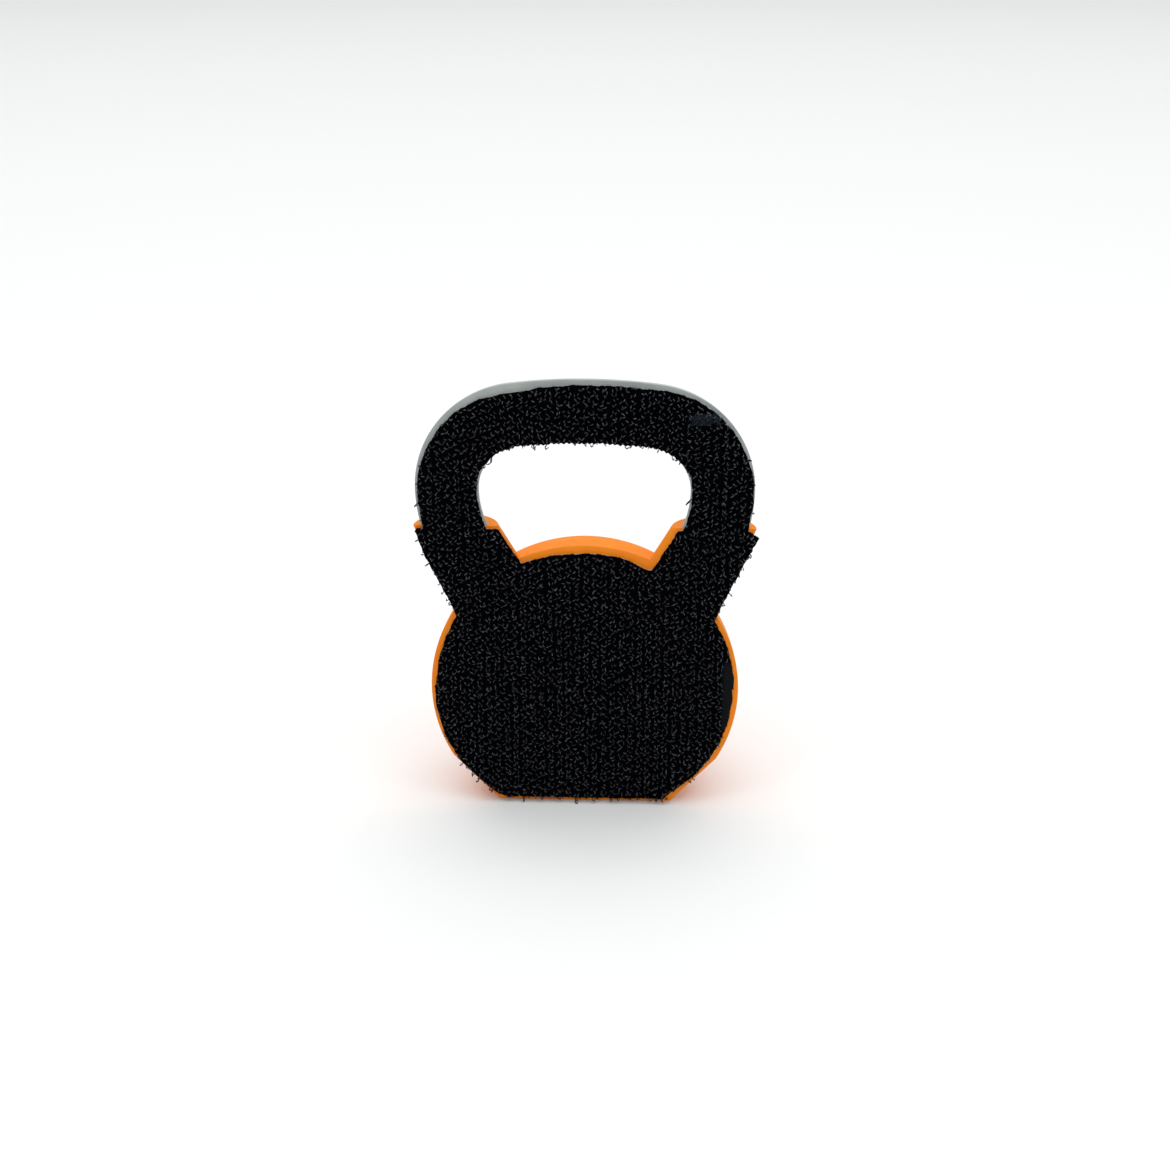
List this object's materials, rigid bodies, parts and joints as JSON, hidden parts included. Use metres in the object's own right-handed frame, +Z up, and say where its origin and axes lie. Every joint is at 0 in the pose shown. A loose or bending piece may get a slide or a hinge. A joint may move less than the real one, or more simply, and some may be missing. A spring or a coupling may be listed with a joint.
{
  "type": "kettlebell badge",
  "caption": "Kettlebell badge: half ball with a flat base, half-round horns and handle, and a flat back covered with woven hook tape.",
  "frame": {"origin": "middle of the whole width and depth, on the flat base", "axes": "+X across the badge, +Y the domed side, -Y the hook side, +Z up from the base to the handle"},
  "size_m": [0.0594, 0.0295, 0.0797],
  "materials": {
    "orange_print": "satin printed plastic with fine layer lines",
    "grey_print": "satin printed plastic with fine layer lines",
    "adhesive": "clear to milky adhesive film",
    "woven_ground": "close plain weave, black",
    "hook_filament": "black nylon monofilament"
  },
  "bodies": {
    "root": {"body": "orange_print", "handle": "grey_print", "main_film": "adhesive", "lower_film": "adhesive", "patch_film": "adhesive", "strip_film": "adhesive", "main_tape": "woven_ground", "lower_tape": "woven_ground", "patch_tape": "woven_ground", "strip_tape": "woven_ground", "main_hooks": "hook_filament", "lower_hooks": "hook_filament", "patch_hooks": "hook_filament", "strip_hooks": "hook_filament"}
  },
  "joints": []
}
